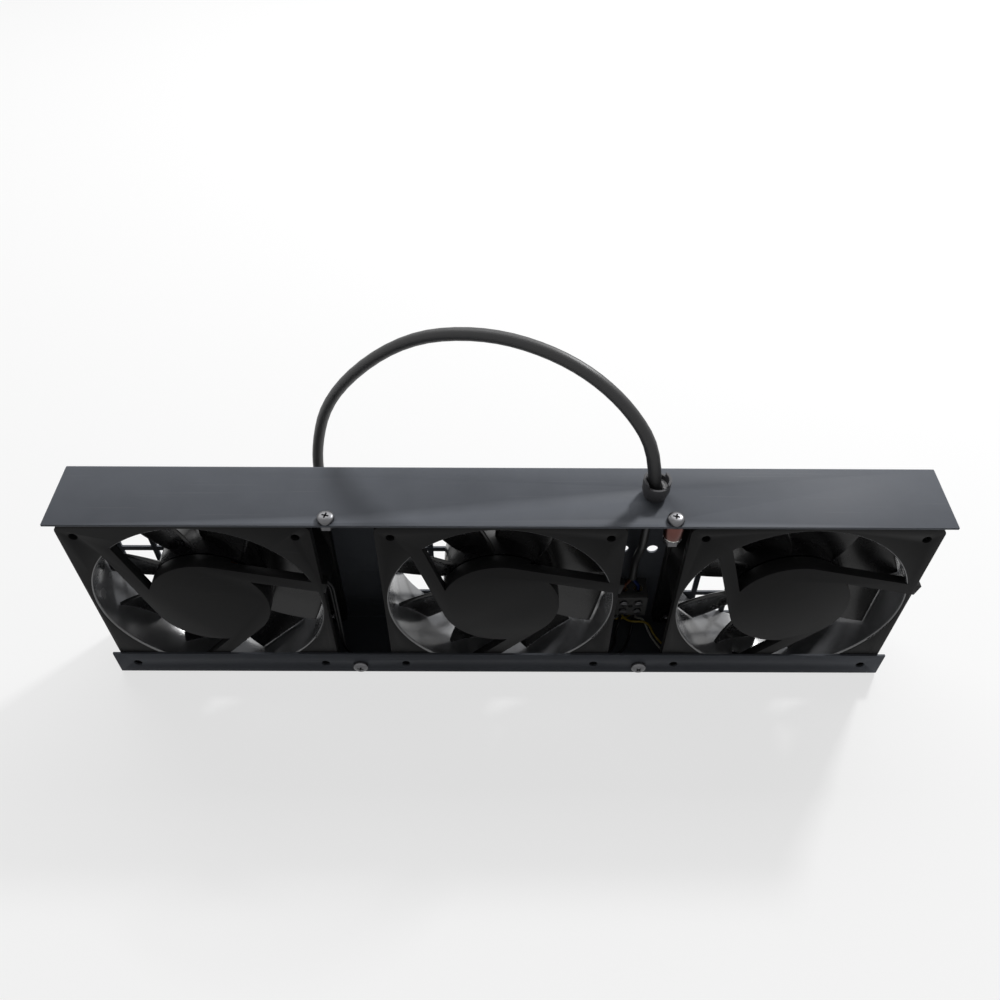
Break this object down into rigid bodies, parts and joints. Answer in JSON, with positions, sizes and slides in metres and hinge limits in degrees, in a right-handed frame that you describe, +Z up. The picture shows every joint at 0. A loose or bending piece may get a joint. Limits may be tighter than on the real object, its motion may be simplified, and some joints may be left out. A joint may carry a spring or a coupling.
{
  "type": "rack fan tray",
  "caption": "Folded steel channel carrying a row of axial fans, with square grids behind them and a mains cord coming out of its top panel.",
  "frame": {"origin": "centre of the bottom flange's outer face", "axes": "+Z up as the tray stands on its bottom flange, +X along its length with the cord gland at positive X, +Y from the fans' strut side towards the gridded web"},
  "size_m": [0.428, 0.1239, 0.1918],
  "materials": {
    "panel_paint": "satin powder coat, dark grey",
    "fan_casting": "black painted die casting",
    "rotor_plastic": "black glass-filled nylon",
    "rotor_steel": "drawn steel",
    "shaft_steel": "ground steel",
    "bearing_steel": "polished steel",
    "core_steel": "stacked laminations",
    "winding_copper": "enamelled copper wire",
    "screw_steel": "zinc plated",
    "spacer_brown": "dark red-brown",
    "tinned_copper": "tinned",
    "clamp_brass": "nickel-free brass",
    "block_nylon": "black nylon",
    "gland_nylon": "black nylon",
    "wedge_nylon": "pale nylon",
    "cord_pvc": "black PVC",
    "lead_pvc": "yellow and white PVC",
    "live_pvc": "brown PVC",
    "neutral_pvc": "blue PVC",
    "earth_pvc": "green and yellow PVC",
    "tie_nylon": "black strap",
    "pin_brass": "bare brass"
  },
  "bodies": {
    "tray": {"chassis_channel": "panel_paint", "fan_frame_left": "fan_casting", "bearings_left": "bearing_steel", "stator_core_left": "core_steel", "stator_winding_left": "winding_copper", "fan_leads_left": "lead_pvc", "fan_frame_center": "fan_casting", "bearings_center": "bearing_steel", "stator_core_center": "core_steel", "stator_winding_center": "winding_copper", "fan_leads_center": "lead_pvc", "fan_frame_right": "fan_casting", "bearings_right": "bearing_steel", "stator_core_right": "core_steel", "stator_winding_right": "winding_copper", "fan_leads_right": "lead_pvc", "fan_screws": "screw_steel", "fan_nuts": "screw_steel", "panel_screw": "screw_steel", "panel_nut": "screw_steel", "earth_screw": "screw_steel", "earth_nut": "screw_steel", "lip_screws": "screw_steel", "lip_nuts": "screw_steel", "terminal_fixing_screw": "screw_steel", "terminal_screws": "screw_steel", "earth_spacer": "spacer_brown", "earth_ring_terminal": "tinned_copper", "earth_star_washer": "screw_steel", "terminal_block": "block_nylon", "terminal_clamps": "clamp_brass", "gland_body": "gland_nylon", "gland_wedge": "wedge_nylon", "gland_locknut": "gland_nylon", "power_cord": "cord_pvc", "power_cord_coil": "cord_pvc", "power_cord_tail": "cord_pvc", "cord_ties": "tie_nylon", "plug_boot": "cord_pvc", "plug_body": "cord_pvc", "plug_pins": "pin_brass", "core_sleeve": "cord_pvc", "live_core": "live_pvc", "neutral_core": "neutral_pvc", "earth_core": "earth_pvc"},
    "rotor_left": {"impeller_left": "rotor_plastic", "rotor_cup_left": "rotor_steel", "rotor_shaft_left": "shaft_steel"},
    "rotor_center": {"impeller_center": "rotor_plastic", "rotor_cup_center": "rotor_steel", "rotor_shaft_center": "shaft_steel"},
    "rotor_right": {"impeller_right": "rotor_plastic", "rotor_cup_right": "rotor_steel", "rotor_shaft_right": "shaft_steel"}
  },
  "joints": [
    {"name": "rotor_left_spin", "type": "hinge", "parent": "tray", "child": "rotor_left", "pos_m": [-0.15, 0, 0.0622], "axis": [0, -1, 0], "continuous": true},
    {"name": "rotor_center_spin", "type": "hinge", "parent": "tray", "child": "rotor_center", "pos_m": [0, 0, 0.0622], "axis": [0, -1, 0], "continuous": true},
    {"name": "rotor_right_spin", "type": "hinge", "parent": "tray", "child": "rotor_right", "pos_m": [0.15, 0, 0.0622], "axis": [0, -1, 0], "continuous": true}
  ]
}
